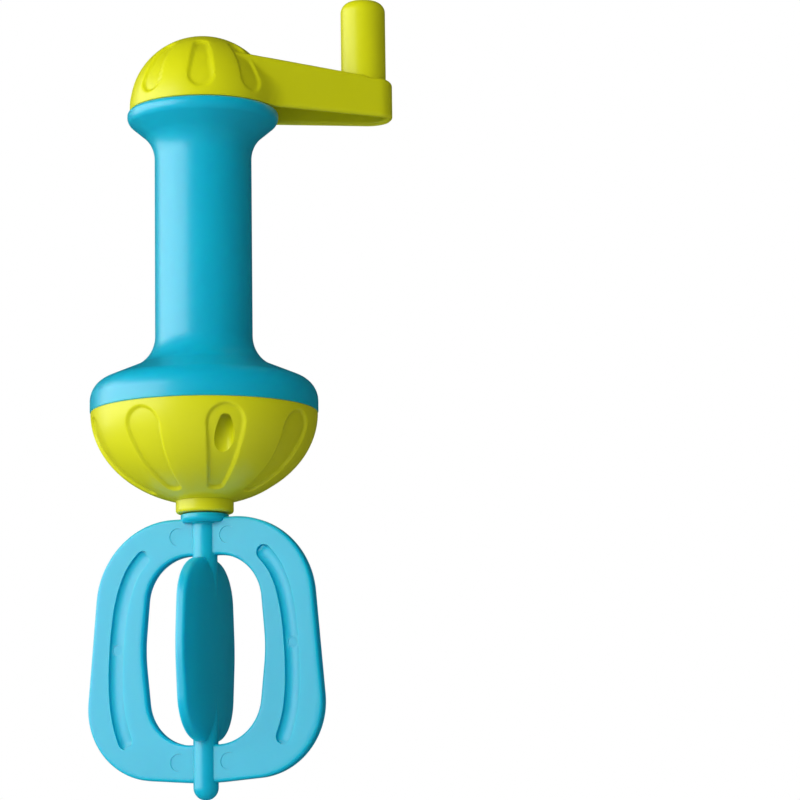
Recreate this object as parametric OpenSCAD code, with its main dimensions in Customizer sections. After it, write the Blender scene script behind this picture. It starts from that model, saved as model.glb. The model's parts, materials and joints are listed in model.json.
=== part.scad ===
// Hand-cranked toy egg beater. The crank on top turns a long shaft inside the grip; a planetary
// gear train in the bowl spins the beater below it five times as fast, about the same axis.
// Millimetres, +Z up along that axis, origin at the middle of the grip tube. At rest the
// beater's blade lies in the XZ plane, with the vane square to it in the YZ plane.

/* [Grip] */
// Length of the straight part of the grip tube
grip_len = 59.6; // [50:0.1:72]
// Outer radius of the grip tube
grip_r = 16.1; // [13.5:0.1:17.5]
// Wall of the handle shell
handle_wall = 2.4; // [2:0.1:2.9]
// Outer radius of the lip under the crank
lip_r = 25.15; // [24:0.05:30]
// Height of the straight band of the lip
lip_h = 2.0; // [1.5:0.1:3]
// Radius of the hollow curve between tube and lip
lip_hollow_r = 11.0; // [9:0.5:12]
// Radius of the rounded edge under the lip
lip_crown_r = 3.5; // [3.2:0.1:4.2]
// Radius of the lip's upper edge
lip_edge_r = 1.6; // [0.6:0.1:1.8]
// Outer radius of the rim where the handle meets the bowl
rim_r = 37.6; // [31.4:0.1:45.2]
// Height of the straight band of the rim
rim_h = 3.7; // [3:0.1:5]
// Radius of the hollow curve between tube and rim
rim_hollow_r = 11.5; // [10:0.5:13]
// Radius of the rounded shoulder above the rim
rim_crown_r = 8.0; // [7:0.5:9]

/* [Bowl] */
// Step inwards from the rim to the bowl, at the seam
bowl_step = 0.2; // [0:0.05:0.4]
// Depth that the bowl's elliptic section would have without its neck
bowl_depth = 30.3; // [26:0.1:36]
// Wall of the bowl
bowl_wall = 2.2; // [1.8:0.1:2.6]
// Height of the spigot that snaps up into the handle's rim
spigot_h = 4.0; // [3:0.1:5]
// Wall of the spigot
spigot_wall = 1.8; // [1.5:0.1:2]
// Outer radius of the neck collar
collar_r = 9.5; // [8.8:0.1:11]
// Height of the neck collar
collar_h = 4.0; // [3:0.1:6]
// Direction of the drain pocket round the bowl, in degrees
drain_angle = -55; // [-180:1:180]
// Width of the drain pocket
drain_w = 6.3; // [4:0.1:7]
// Drop from the seam to the drain pocket's pointed top
drain_drop = 5.0; // [4:0.1:6]

/* [Crank] */
// Direction of the crank's arm at rest, in degrees
crank_angle = 36.7; // [-180:0.1:180]
// Step inwards from the handle's lip to the dome
dome_step = 0.8; // [0.2:0.05:1.2]
// Height of the upright band at the dome's foot
dome_rise = 0.65; // [0.2:0.05:1]
// Wall of the crank moulding
crank_wall = 2.2; // [1.8:0.1:2.6]
// Distance from the spin axis to the knob's axis
throw_r = 55.8; // [46.5:0.1:67]
// Length of the arm past the knob's axis
arm_overhang = 9.5; // [9:0.1:12]
// Half-width of the arm at its end
arm_end_w = 6.9; // [6.4:0.1:9]
// Corner radius of the arm's end
arm_corner_r = 6.0; // [4:0.1:6.2]
// Height of the arm where it leaves the dome
arm_root_h = 15.9; // [13:0.1:18]
// Height of the arm at its end
arm_end_h = 12.8; // [10:0.1:14]
// Radius of the knob
knob_r = 7.55; // [6.3:0.05:9]
// Height of the knob's top above the arm's underside
knob_top = 40.8; // [34:0.1:49]
// Radius of the knob's top edge
knob_edge_r = 3.7; // [2:0.1:4]
// Width of the level groove in the arm round the knob's foot
knob_groove_w = 0.6; // [0.4:0.05:1]

/* [Beater] */
// Radius of the flange under the neck
flange_r = 7.9; // [7:0.1:9]
// Height of the flange
flange_h = 2.8; // [2:0.1:4]
// Radius of the beater's rod
rod_r = 4.1; // [3.9:0.1:5]
// Length of the rod's round tip below the blade
tip_len = 5.3; // [4.5:0.1:8]
// Thickness of the blade
blade_t = 4.1; // [3.2:0.1:5]
// Height of the blade
blade_h = 86.6; // [72.2:0.1:104]
// Drop from the flange's top to the blade's top edge
blade_drop = 1.2; // [0.8:0.1:2]
// Half-width of the blade's upper corners, before rounding
blade_top_w = 36.3; // [32:0.1:43.6]
// Half-width of the blade's lower corners, before rounding
blade_low_w = 43.7; // [38:0.1:51.8]
// Rise of the lower corners above the blade's lowest point
blade_belly = 3.3; // [0:0.1:6]
// Radius of the blade's upper corners
blade_top_r = 28; // [20:1:30]
// Radius of the blade's lower corners
blade_low_r = 24; // [18:1:28]
// Width of the bar above the window
bar_top = 12.3; // [10:0.1:14]
// Width of the bar below the window
bar_low = 12.6; // [10:0.1:14]
// Half-width of the window at its top corners
window_top_w = 19.2; // [16:0.1:21]
// Half-width of the window at its middle
window_mid_w = 21.9; // [18:0.1:24]
// Half-width of the window at its lower corners
window_low_w = 18.7; // [16:0.1:20.5]
// Radius of the window's corners
window_corner_r = 15.5; // [12:0.5:16]
// Thickness of the vane
vane_t = 3.2; // [2.4:0.1:4]
// How much smaller the vane is than the window, all round
vane_inset = 0.9; // [0:0.1:3]

/* [Shafts] */
// Radius of the drive shaft
drive_r = 4.0; // [3.4:0.1:4.8]
// Depth of the shaft's seat in the crank and in the carrier
socket_len = 11.0; // [9:0.1:14]
// Radius of the beater's shaft
spindle_r = 2.5; // [2.1:0.1:3]
// Depth of the beater's shaft in the beater
spindle_grip = 22.0; // [18:0.5:26]
// How much of a shaft's radius its flat takes off
flat_cut = 0.8; // [0.4:0.1:1]
// Wall of each bush
bush_wall = 2.0; // [1.4:0.1:2.4]
// Length of the upper bush
upper_bush_len = 11.0; // [9:0.5:13]
// Length of the lower bush without its flange
lower_bush_len = 11.0; // [9:0.5:12]
// Length of the middle bush
middle_bush_len = 4.4; // [3:0.1:5]
// Width and height of each bush's flange
bush_flange = 1.4; // [1:0.1:1.6]
// Thickness of the washers
washer_t = 0.7; // [0.5:0.1:0.9]
// Thickness of the retaining clips
clip_t = 0.8; // [0.6:0.1:1]
// How far a clip stands out of its shaft
clip_w = 2.2; // [1.6:0.1:2.6]
// Depth of a clip's groove
groove_d = 0.5; // [0.3:0.1:0.6]

/* [Gears] */
// Teeth on the sun gear
sun_teeth = 12; // [12]
// Teeth on each planet gear
planet_teeth = 18; // [18]
// Number of planet gears
planets = 3; // [3]
// Pressure angle, in degrees
pressure_angle = 25; // [25]
// Play between meshing teeth, along the pitch circle
backlash = 0.2; // [0.12:0.01:0.3]
// Face width of the gears
gear_h = 6.0; // [4:0.1:7]
// Wall of the ring gear behind its teeth
ring_wall = 2.3; // [1.8:0.1:2.6]
// Radius of the planet pins
pin_r = 1.5; // [1.2:0.1:1.9]
// Thickness of the carrier's disc
carrier_t = 3.0; // [2.4:0.1:3.4]
// Thickness of the carrier's cover plate and of the gearbox plate
plate_t = 2.0; // [1.6:0.1:2.4]
// Radius of the carrier's hub, which turns in the gearbox plate
hub_r = 7.5; // [6.5:0.1:9]
// Radius of the carrier's spacer posts
post_r = 2.5; // [2.2:0.1:2.8]

/* [Screws] */
// Thread radius of the gearbox screws
screw_r = 1.4; // [1.2:0.1:1.6]
// Radius of the ears and posts round the gearbox screws
ear_r = 3.0; // [2.8:0.1:3.4]
// Thread radius of the carrier screws
small_screw_r = 1.0; // [0.8:0.1:1.2]
// Height of the screw heads
head_h = 1.5; // [1.2:0.1:1.6]
// Depth that a screw bites below the piece it holds
bite = 5.0; // [4:0.5:6]

/* [Clearances] */
// Radial play of a shaft in its bush
running_fit = 0.06; // [0.04:0.01:0.09]
// Radial play between pieces that are pressed or snapped together
fixed_fit = 0.02; // [0.01:0.01:0.04]
// Gap between the crank's rim and the handle, and between the beater and the neck
seam_gap = 0.4; // [0.3:0.05:0.8]
// Gap between faces that turn past each other inside
air_gap = 0.4; // [0.3:0.05:0.8]

/* [Hidden] */
$fn = 96;

sky = [0.12, 0.67, 0.84];
lime = [0.80, 0.84, 0.12];
nylon = [0.93, 0.92, 0.88];
acetal = [0.30, 0.31, 0.33];
steel = [0.74, 0.75, 0.77];
bronze = [0.72, 0.55, 0.32];

arc_steps = 10;                 // segments in each profile arc
cut = 1;                        // how far a cutter runs past the face it opens
lip_lean = 50;                  // steepest angle of the flare below the lip
rim_lean = 67;                  // steepest angle of the flare above the rim

// --- Heights along the spin axis, from the grip outwards ---
lip_z = grip_len / 2 + flare_h(grip_r, lip_r, lip_hollow_r, lip_crown_r, lip_lean);
lip_top_z = lip_z + lip_h;
dome_r = lip_r - dome_step;
dome_z = lip_top_z + seam_gap;
rim_z = -grip_len / 2 - flare_h(grip_r, rim_r, rim_hollow_r, rim_crown_r, rim_lean);
seam_z = rim_z - rim_h;
bowl_r = rim_r - bowl_step;
collar_z = seam_z - bowl_depth * sqrt(1 - pow(collar_r / bowl_r, 2));
neck_z = collar_z - collar_h;
flange_z = neck_z - air_gap;
blade_z = flange_z - blade_drop;
blade_low_z = blade_z - blade_h;
rod_end_z = blade_low_z - tip_len + rod_r;

// --- Gear train: it fills the bowl inside its spigot ---
ring_teeth = sun_teeth + 2 * planet_teeth;
spigot_r = rim_r - handle_wall - 5 * fixed_fit;
spigot_inner_r = spigot_r - spigot_wall;
screw_circle_r = spigot_inner_r - ear_r - 2 * air_gap;
dedendum = 1.25;                // depth of a tooth below its pitch circle, in modules
module_step = 0.05;             // gears are cut to modules in steps of this size
gear_module = module_step * floor(
    (screw_circle_r - screw_r - air_gap - ring_wall) / (ring_teeth / 2 + dedendum) / module_step);
ring_r = gear_module * (ring_teeth / 2 + dedendum) + ring_wall;
orbit_r = gear_module * (sun_teeth + planet_teeth) / 2;
carrier_r = orbit_r + post_r + cut;
first_planet = 30;              // direction of the first planet's pin
screw_angle = 5;                // direction of the first gearbox screw
gear_top_z = seam_z - air_gap;
gear_low_z = gear_top_z - gear_h;
carrier_z = gear_top_z + air_gap;
carrier_top_z = carrier_z + carrier_t;
gearbox_z = carrier_top_z + air_gap;
gearbox_top_z = gearbox_z + plate_t;
cover_z = gear_low_z - air_gap;
cover_low_z = cover_z - plate_t;
hub_seat_z = carrier_z + middle_bush_len + 2 * air_gap;
hub_top_z = hub_seat_z + socket_len;

// --- Bearings ---
drive_bush_r = drive_r + running_fit + bush_wall;
spindle_bush_r = spindle_r + running_fit + bush_wall;
bush_top_z = neck_z + 2 * air_gap + lower_bush_len;
crank_hub_z = lip_top_z + seam_gap + washer_t;
crank_hub_r = drive_r + 2 * bush_wall;
bush_end_z = lip_top_z - upper_bush_len;
clip_z = bush_end_z - air_gap - clip_t;
beater_clip_z = bush_top_z + bush_flange + air_gap;

// Height of an S-shaped flare from radius r0 to r1: an arc, a straight lean and an arc
function flare_h(r0, r1, hollow_r, crown_r, lean) =
    (hollow_r + crown_r) * sin(lean)
    + (r1 - r0 - (hollow_r + crown_r) * (1 - cos(lean))) / tan(lean);

// Points of that flare from (r0, z0), going up for side 1 and down for side -1
function flare(r0, z0, r1, hollow_r, crown_r, lean, side) =
    let (z1 = z0 + side * flare_h(r0, r1, hollow_r, crown_r, lean))
    concat(
        [for (i = [0:arc_steps]) let (t = lean * i / arc_steps)
            [r0 + hollow_r - hollow_r * cos(t), z0 + side * hollow_r * sin(t)]],
        [for (i = [arc_steps:-1:0]) let (t = lean * i / arc_steps)
            [r1 - crown_r + crown_r * cos(t), z1 - side * crown_r * sin(t)]]);

// The same flare, moved inwards by a wall
function inner_flare(r0, z0, r1, hollow_r, crown_r, lean, side, wall) =
    flare(r0 - wall, z0, r1 - wall, hollow_r + wall, crown_r - wall, lean, side);

function reversed(points) = [for (i = [len(points) - 1:-1:0]) points[i]];

function unit(v) = v / norm(v);

// Arc of radius r that rounds corner b between its neighbours a and c
function corner(a, b, c, r) =
    let (
        u = unit(a - b),
        v = unit(c - b),
        half = acos(u * v) / 2,
        centre = b + unit(u + v) * r / sin(half),
        start = b + u * r / tan(half) - centre,
        end = b + v * r / tan(half) - centre,
        a0 = atan2(start[1], start[0]),
        turn = atan2(start[0] * end[1] - start[1] * end[0], start * end))
    [for (i = [0:arc_steps]) centre + r * [cos(a0 + turn * i / arc_steps),
                                           sin(a0 + turn * i / arc_steps)]];

// Closed outline with each corner rounded to its own radius
function rounded(corners, radii) =
    let (n = len(corners))
    [for (i = [0:n - 1]) each corner(corners[(i + n - 1) % n], corners[i],
                                     corners[(i + 1) % n], radii[i])];

// Quarter of an ellipse, from its widest point to its lowest
function bowl_arc(r, depth) =
    [for (i = [0:2 * arc_steps]) let (t = 90 * i / (2 * arc_steps))
        [r * cos(t), seam_z - depth * sin(t)]];

// Angle of an involute at radius r, from where it leaves its base circle
function involute(base_r, r) =
    r <= base_r ? 0 : let (a = acos(base_r / r)) tan(a) * 180 / PI - a;

// Outline of a spur gear with a tooth centred at 0 degrees. swell widens each tooth on its
// pitch circle, and top and root are in modules, so the same outline cuts the ring gear.
function gear_outline(teeth, swell, top, root) =
    let (
        pitch_r = gear_module * teeth / 2,
        base_r = pitch_r * cos(pressure_angle),
        low_r = pitch_r - root * gear_module,
        high_r = pitch_r + top * gear_module,
        half = 90 / teeth + (swell / 2) / pitch_r * 180 / PI + involute(base_r, pitch_r),
        steps = 5,
        start_r = max(low_r, base_r),
        flank = [for (i = [0:steps]) let (r = start_r + (high_r - start_r) * i / steps)
            [r, half - involute(base_r, r)]],
        side = low_r < base_r ? concat([[low_r, half]], flank) : flank)
    [for (k = [0:teeth - 1], s = [-1, 1], i = [0:len(side) - 1])
        let (p = side[s < 0 ? i : len(side) - 1 - i], a = 360 * k / teeth + s * p[1])
        p[0] * [cos(a), sin(a)]];

// Directions of the planets, and the turn that puts each one in mesh with a sun whose tooth
// points along +X, and the ring gear in mesh with the planets
function planet_angle(i) = first_planet + 360 * i / planets;
function planet_turn(i) =
    planet_angle(i) + 180 - (180 - sun_teeth * planet_angle(i)) / planet_teeth;
function ring_turn() =
    planet_angle(0) - planet_teeth * (planet_angle(0) - planet_turn(0)) / ring_teeth;

// Corners of the window, or of the vane when it is drawn smaller by inset
function window_corners(inset) =
    let (
        top = blade_z - bar_top - inset,
        low = blade_low_z + bar_low + inset,
        mid = (top + low) / 2)
    [[window_top_w - inset, top], [window_mid_w - inset, mid], [window_low_w - inset, low],
     [-window_low_w + inset, low], [-window_mid_w + inset, mid], [-window_top_w + inset, top]];

window_side_r = 60;             // radius of the window's long sides
blade_foot_r = 110;             // radius of the blade's lowest edge
window_radii = [window_corner_r, window_side_r, window_corner_r,
                window_corner_r, window_side_r, window_corner_r];

// What a flat takes off a round bar from z0 up to z1, on the +X side
module flat(r, z0, z1) {
    translate([r - flat_cut, -r, z0]) cube([r, 2 * r, z1 - z0]);
}

// Round bar from z0 up to z1 with that flat all along it, to cut a shaft's seat
module flatted(r, z0, z1) {
    difference() {
        translate([0, 0, z0]) cylinder(r=r, h=z1 - z0);
        flat(r, z0 - cut, z1 + cut);
    }
}

// Tube from z0 up to z1
module tube(outer_r, inner_r, z0, z1) {
    difference() {
        translate([0, 0, z0]) cylinder(r=outer_r, h=z1 - z0);
        translate([0, 0, z0 - cut]) cylinder(r=inner_r, h=z1 - z0 + 2 * cut);
    }
}

// Its children, repeated count times round the spin axis at radius r
module ring_of(count, r, first) {
    for (i = [0:count - 1]) rotate([0, 0, first + 360 * i / count]) translate([r, 0, 0]) children();
}

// Open retaining ring round a shaft, seated in its groove
module retaining_clip(shaft_r, z0) {
    seat_r = shaft_r - groove_d + fixed_fit;
    difference() {
        tube(shaft_r + clip_w, seat_r, z0, z0 + clip_t);
        translate([0, -seat_r * 0.8, z0 - cut]) cube([2 * shaft_r + clip_w, seat_r * 1.6, clip_t + 2 * cut]);
    }
}

// Groove for that clip
module clip_groove(shaft_r, z0) {
    tube(shaft_r + cut, shaft_r - groove_d, z0 - fixed_fit, z0 + clip_t + fixed_fit);
}

// Pan-head screw with its head's underside at z = 0 and its thread going down
module screw(r, length) {
    difference() {
        union() {
            cylinder(r=2 * r, h=head_h);
            translate([0, 0, -length]) cylinder(r=r, h=length);
        }
        translate([-r, -0.3 * r, head_h / 2]) cube([2 * r, 0.6 * r, head_h]);
        translate([-0.3 * r, -r, head_h / 2]) cube([0.6 * r, 2 * r, head_h]);
    }
}

// --- Housing ---

module handle_shell() {
    top_inner = inner_flare(grip_r, grip_len / 2, lip_r, lip_hollow_r, lip_crown_r, lip_lean, 1,
                            handle_wall);
    low_inner = inner_flare(grip_r, -grip_len / 2, rim_r, rim_hollow_r, rim_crown_r, rim_lean, -1,
                            handle_wall);
    color(sky) rotate_extrude() polygon(concat(
        [[lip_r - handle_wall, lip_top_z]],
        [for (i = [arc_steps:-1:0]) let (t = 90 * i / arc_steps)
            [lip_r - lip_edge_r + lip_edge_r * cos(t), lip_top_z - lip_edge_r + lip_edge_r * sin(t)]],
        reversed(flare(grip_r, grip_len / 2, lip_r, lip_hollow_r, lip_crown_r, lip_lean, 1)),
        flare(grip_r, -grip_len / 2, rim_r, rim_hollow_r, rim_crown_r, rim_lean, -1),
        [[rim_r, seam_z], [rim_r - handle_wall, seam_z]],
        reversed(low_inner),
        top_inner));
}

// Bearing plate that closes the top of the handle and holds the upper bush
module top_plate() {
    color(nylon) difference() {
        union() {
            translate([0, 0, lip_z]) cylinder(r=lip_r - handle_wall - fixed_fit, h=lip_h);
            translate([0, 0, bush_end_z]) cylinder(r=drive_bush_r + bush_wall, h=lip_z - bush_end_z);
        }
        translate([0, 0, bush_end_z - cut])
            cylinder(r=drive_bush_r + fixed_fit, h=upper_bush_len + 2 * cut);
        translate([0, 0, lip_top_z - bush_flange - fixed_fit])
            cylinder(r=drive_bush_r + bush_flange + fixed_fit, h=bush_flange + cut);
    }
}

module upper_bush() {
    color(bronze) difference() {
        union() {
            translate([0, 0, bush_end_z]) cylinder(r=drive_bush_r, h=upper_bush_len);
            translate([0, 0, lip_top_z - bush_flange])
                cylinder(r=drive_bush_r + bush_flange, h=bush_flange);
        }
        translate([0, 0, bush_end_z - cut])
            cylinder(r=drive_r + running_fit, h=upper_bush_len + 2 * cut);
    }
}

module bowl_solid(inset) {
    rotate_extrude() polygon(concat([[0, seam_z]], bowl_arc(bowl_r - inset, bowl_depth - inset)));
}

// Upright round bar that runs up into the wall from below, where its outer side meets the bowl's
// surface at a drop from the seam. The wall's slant turns what it cuts into a teardrop.
module drain_bar(grow) {
    reach = bowl_r * sqrt(1 - pow(drain_drop / bowl_depth, 2));
    rotate([0, 0, drain_angle]) translate([reach - drain_w / 2, 0, seam_z - bowl_depth])
        cylinder(r=drain_w / 2 + grow, h=bowl_depth - drain_drop + grow);
}

module bowl_shell() {
    boss_r = spindle_bush_r + bowl_wall;
    ledge = 6;                  // how far the spigot's foot runs down inside the bowl
    color(lime) difference() {
        union() {
            difference() {
                bowl_solid(0);
                bowl_solid(bowl_wall);
            }
            rotate_extrude() polygon([
                [spigot_inner_r, seam_z + spigot_h], [spigot_r, seam_z + spigot_h],
                [spigot_r, seam_z], [bowl_r - bowl_wall / 2, seam_z],
                [bowl_r - bowl_wall / 2, seam_z - ledge / 2], [spigot_inner_r, seam_z - ledge]]);
            translate([0, 0, neck_z]) cylinder(r=collar_r, h=collar_h + bowl_wall);
            translate([0, 0, neck_z]) cylinder(r=boss_r, h=bush_top_z - neck_z);
            intersection() {
                union() {
                    ring_of(planets, screw_circle_r, screw_angle)
                        translate([0, 0, seam_z - bowl_depth])
                            cylinder(r=ear_r, h=bowl_depth - (seam_z - cover_z));
                    drain_bar(bowl_wall);
                }
                bowl_solid(bowl_wall / 2);
            }
        }
        translate([0, 0, neck_z - cut])
            cylinder(r=spindle_bush_r + fixed_fit, h=bush_top_z - neck_z + 2 * cut);
        ring_of(planets, screw_circle_r, screw_angle)
            translate([0, 0, cover_z - bite - cut]) cylinder(r=screw_r + fixed_fit, h=bite + 2 * cut);
        drain_bar(0);
    }
}

module lower_bush() {
    color(bronze) difference() {
        union() {
            translate([0, 0, neck_z + 2 * air_gap]) cylinder(r=spindle_bush_r, h=lower_bush_len);
            translate([0, 0, bush_top_z]) cylinder(r=spindle_bush_r + bush_flange, h=bush_flange);
        }
        translate([0, 0, neck_z])
            cylinder(r=spindle_r + running_fit, h=bush_top_z + bush_flange - neck_z + cut);
    }
}

module ring_gear() {
    height = carrier_z - cover_z;
    color(nylon) translate([0, 0, cover_z]) difference() {
        union() {
            cylinder(r=ring_r, h=height);
            ring_of(planets, screw_circle_r, screw_angle) cylinder(r=ear_r, h=height);
            ring_of(planets, screw_circle_r, screw_angle)
                translate([-ear_r, -0.8 * ear_r, 0]) cube([ear_r, 1.6 * ear_r, height]);
        }
        rotate([0, 0, ring_turn()]) translate([0, 0, -cut]) linear_extrude(height + 2 * cut)
            polygon(gear_outline(ring_teeth, backlash, dedendum, 1));
        ring_of(planets, screw_circle_r, screw_angle)
            translate([0, 0, -cut]) cylinder(r=screw_r + fixed_fit, h=height + 2 * cut);
    }
}

// Cover over the gears, on three spacers; the carrier's hub turns in its middle
module gearbox_plate() {
    color(nylon) difference() {
        union() {
            translate([0, 0, gearbox_z]) cylinder(r=screw_circle_r + ear_r + air_gap, h=plate_t);
            ring_of(planets, screw_circle_r, screw_angle)
                translate([0, 0, carrier_z]) cylinder(r=ear_r, h=gearbox_z - carrier_z + cut);
        }
        translate([0, 0, gearbox_z - cut]) cylinder(r=hub_r + running_fit, h=plate_t + 2 * cut);
        ring_of(planets, screw_circle_r, screw_angle) translate([0, 0, carrier_z - cut])
            cylinder(r=screw_r + fixed_fit, h=gearbox_top_z - carrier_z + 2 * cut);
    }
}

module gearbox_screws() {
    color(steel) ring_of(planets, screw_circle_r, screw_angle)
        translate([0, 0, gearbox_top_z]) screw(screw_r, gearbox_top_z - cover_z + bite);
}

// --- Crank and everything that turns with it ---

module dome_solid(inset) {
    low = inset > 0 ? dome_z - cut : dome_z;
    translate([0, 0, dome_z + dome_rise]) intersection() {
        sphere(r=dome_r - inset);
        cylinder(r=dome_r + cut, h=dome_r + 2 * cut);
    }
    translate([0, 0, low]) cylinder(r=dome_r - inset, h=dome_z + dome_rise - low);
}

// Height of the arm's sloping top above its underside, at a distance from the spin axis.
function arm_top(x) =
    arm_root_h - (arm_root_h - arm_end_h) * (x - dome_r) / (throw_r + arm_overhang - dome_r);

// Tapering arm, cut to the sloping line of its top. Its walls start inside the dome, as wide
// apart as lets their upper edges begin on the dome's surface.
module arm_solid(inset) {
    start_x = dome_r / 4;
    end_x = throw_r + arm_overhang - inset;
    low = inset > 0 ? dome_z - cut : dome_z;
    top = function(x) arm_top(x) - inset;
    buried = 0.1;
    root = sqrt(pow(dome_r - buried, 2) - pow(arm_top(start_x) - dome_rise, 2) - pow(start_x, 2))
        - inset;
    half = arm_end_w - inset;
    intersection() {
        translate([0, 0, low]) linear_extrude(2 * arm_root_h) polygon(concat(
            [[start_x, -root]],
            corner([start_x, -root], [end_x, -half], [end_x, half], arm_corner_r - inset),
            corner([end_x, -half], [end_x, half], [start_x, root], arm_corner_r - inset),
            [[start_x, root]]));
        translate([0, 0, dome_z]) rotate([90, 0, 0]) linear_extrude(4 * dome_r, center=true)
            polygon([[0, low - dome_z], [end_x + cut, low - dome_z],
                     [end_x + cut, top(end_x + cut)], [0, top(0)]]);
    }
}

module crank_handle() {
    knob_z = dome_z + knob_top;
    core_r = knob_r - crank_wall;
    hub_top = dome_z + dome_rise + sqrt(pow(dome_r - crank_wall, 2) - pow(crank_hub_r, 2))
        + crank_wall / 2;
    groove_r = knob_r + knob_groove_w;
    groove_z = dome_z + arm_top(throw_r + groove_r) - air_gap;
    color(lime) union() {
        rotate([0, 0, crank_angle]) difference() {
            union() {
                dome_solid(0);
                difference() {
                    arm_solid(0);
                    translate([throw_r, 0, groove_z]) cylinder(r=groove_r, h=arm_root_h);
                }
                translate([throw_r, 0, 0]) rotate_extrude() polygon(concat(
                    [[0, groove_z - crank_wall], [knob_r, groove_z - crank_wall]],
                    [for (i = [0:arc_steps]) let (t = 90 * i / arc_steps)
                        [knob_r - knob_edge_r + knob_edge_r * cos(t),
                         knob_z - knob_edge_r + knob_edge_r * sin(t)]],
                    [[0, knob_z]]));
            }
            dome_solid(crank_wall);
            arm_solid(crank_wall);
            translate([throw_r, 0, dome_z - cut])
                cylinder(r=core_r, h=knob_top - 2 * crank_wall + cut);
        }
        difference() {
            translate([0, 0, crank_hub_z]) cylinder(r=crank_hub_r, h=hub_top - crank_hub_z);
            flatted(drive_r + fixed_fit, crank_hub_z - cut, crank_hub_z + socket_len + air_gap);
        }
    }
}

module top_washer() {
    color(nylon) tube(crank_hub_r, drive_r + fixed_fit, crank_hub_z - washer_t, crank_hub_z);
}

module drive_shaft() {
    color(acetal) difference() {
        translate([0, 0, hub_seat_z]) cylinder(r=drive_r, h=crank_hub_z + socket_len - hub_seat_z);
        flat(drive_r, crank_hub_z, crank_hub_z + socket_len + cut);
        flat(drive_r, hub_seat_z - cut, hub_top_z);
        clip_groove(drive_r, clip_z);
    }
}

module shaft_clip() {
    color(steel) retaining_clip(drive_r, clip_z);
}

module planet_carrier() {
    color(acetal) difference() {
        union() {
            translate([0, 0, carrier_z]) cylinder(r=carrier_r, h=carrier_t);
            translate([0, 0, carrier_z]) cylinder(r=hub_r, h=hub_top_z - carrier_z);
            ring_of(planets, orbit_r, first_planet + 180 / planets)
                translate([0, 0, cover_z]) cylinder(r=post_r, h=carrier_z - cover_z + cut);
        }
        translate([0, 0, carrier_z - cut])
            cylinder(r=spindle_bush_r + fixed_fit, h=middle_bush_len + cut);
        flatted(drive_r + fixed_fit, hub_seat_z, hub_top_z + cut);
        ring_of(planets, orbit_r, first_planet)
            translate([0, 0, carrier_z - cut]) cylinder(r=pin_r + fixed_fit, h=carrier_t + 2 * cut);
        ring_of(planets, orbit_r, first_planet + 180 / planets) translate([0, 0, cover_z - cut])
            cylinder(r=small_screw_r + fixed_fit, h=bite + 2 * cut);
    }
}

module middle_bush() {
    color(bronze) tube(spindle_bush_r, spindle_r + running_fit, carrier_z,
                       carrier_z + middle_bush_len);
}

module planet_pins() {
    color(steel) ring_of(planets, orbit_r, first_planet)
        translate([0, 0, cover_low_z]) cylinder(r=pin_r, h=carrier_top_z - cover_low_z);
}

module carrier_plate() {
    color(acetal) difference() {
        translate([0, 0, cover_low_z]) cylinder(r=carrier_r, h=plate_t);
        translate([0, 0, cover_low_z - cut])
            cylinder(r=gear_module * (sun_teeth / 2 + 1) + 2 * air_gap, h=plate_t + 2 * cut);
        ring_of(planets, orbit_r, first_planet)
            translate([0, 0, cover_low_z - cut]) cylinder(r=pin_r + fixed_fit, h=plate_t + 2 * cut);
        ring_of(planets, orbit_r, first_planet + 180 / planets) translate([0, 0, cover_low_z - cut])
            cylinder(r=small_screw_r + fixed_fit, h=plate_t + 2 * cut);
    }
}

module carrier_screws() {
    color(steel) ring_of(planets, orbit_r, first_planet + 180 / planets)
        translate([0, 0, cover_low_z]) mirror([0, 0, 1]) screw(small_screw_r, plate_t + bite);
}

// --- Gears that turn on the carrier's pins, and on the beater's shaft ---

module planet_gear(i) {
    color(nylon) translate([orbit_r * cos(planet_angle(i)), orbit_r * sin(planet_angle(i)), gear_low_z])
        difference() {
            rotate([0, 0, planet_turn(i)]) linear_extrude(gear_h)
                polygon(gear_outline(planet_teeth, -backlash, 1, dedendum));
            translate([0, 0, -cut]) cylinder(r=pin_r + running_fit, h=gear_h + 2 * cut);
        }
}

module planet_gear_1() { planet_gear(0); }
module planet_gear_2() { planet_gear(1); }
module planet_gear_3() { planet_gear(2); }

module sun_gear() {
    color(nylon) difference() {
        translate([0, 0, gear_low_z]) linear_extrude(gear_h)
            polygon(gear_outline(sun_teeth, -backlash, 1, dedendum));
        flatted(spindle_r + fixed_fit, gear_low_z - cut, gear_top_z + cut);
    }
}

// --- Beater ---

module beater() {
    corners = [[blade_top_w, blade_z], [blade_low_w, blade_low_z + blade_belly], [0, blade_low_z],
               [-blade_low_w, blade_low_z + blade_belly], [-blade_top_w, blade_z]];
    radii = [blade_top_r, blade_low_r, blade_foot_r, blade_low_r, blade_top_r];
    color(sky) difference() {
        union() {
            rotate([90, 0, 0]) linear_extrude(blade_t, center=true) difference() {
                polygon(rounded(corners, radii));
                polygon(rounded(window_corners(0), window_radii));
            }
            rotate([90, 0, 90]) linear_extrude(vane_t, center=true)
                polygon(rounded(window_corners(vane_inset), window_radii));
            translate([0, 0, flange_z - flange_h]) cylinder(r=flange_r, h=flange_h);
            translate([0, 0, rod_end_z]) cylinder(r=rod_r, h=flange_z - rod_end_z);
            translate([0, 0, rod_end_z]) sphere(r=rod_r);
        }
        flatted(spindle_r + fixed_fit, flange_z - spindle_grip - air_gap, flange_z + cut);
    }
}

module beater_shaft() {
    foot_z = flange_z - spindle_grip;
    color(steel) difference() {
        translate([0, 0, foot_z]) cylinder(r=spindle_r, h=hub_seat_z - 3 * air_gap - foot_z);
        flat(spindle_r, gear_low_z, gear_top_z);
        flat(spindle_r, foot_z - cut, flange_z);
        clip_groove(spindle_r, beater_clip_z);
    }
}

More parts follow.
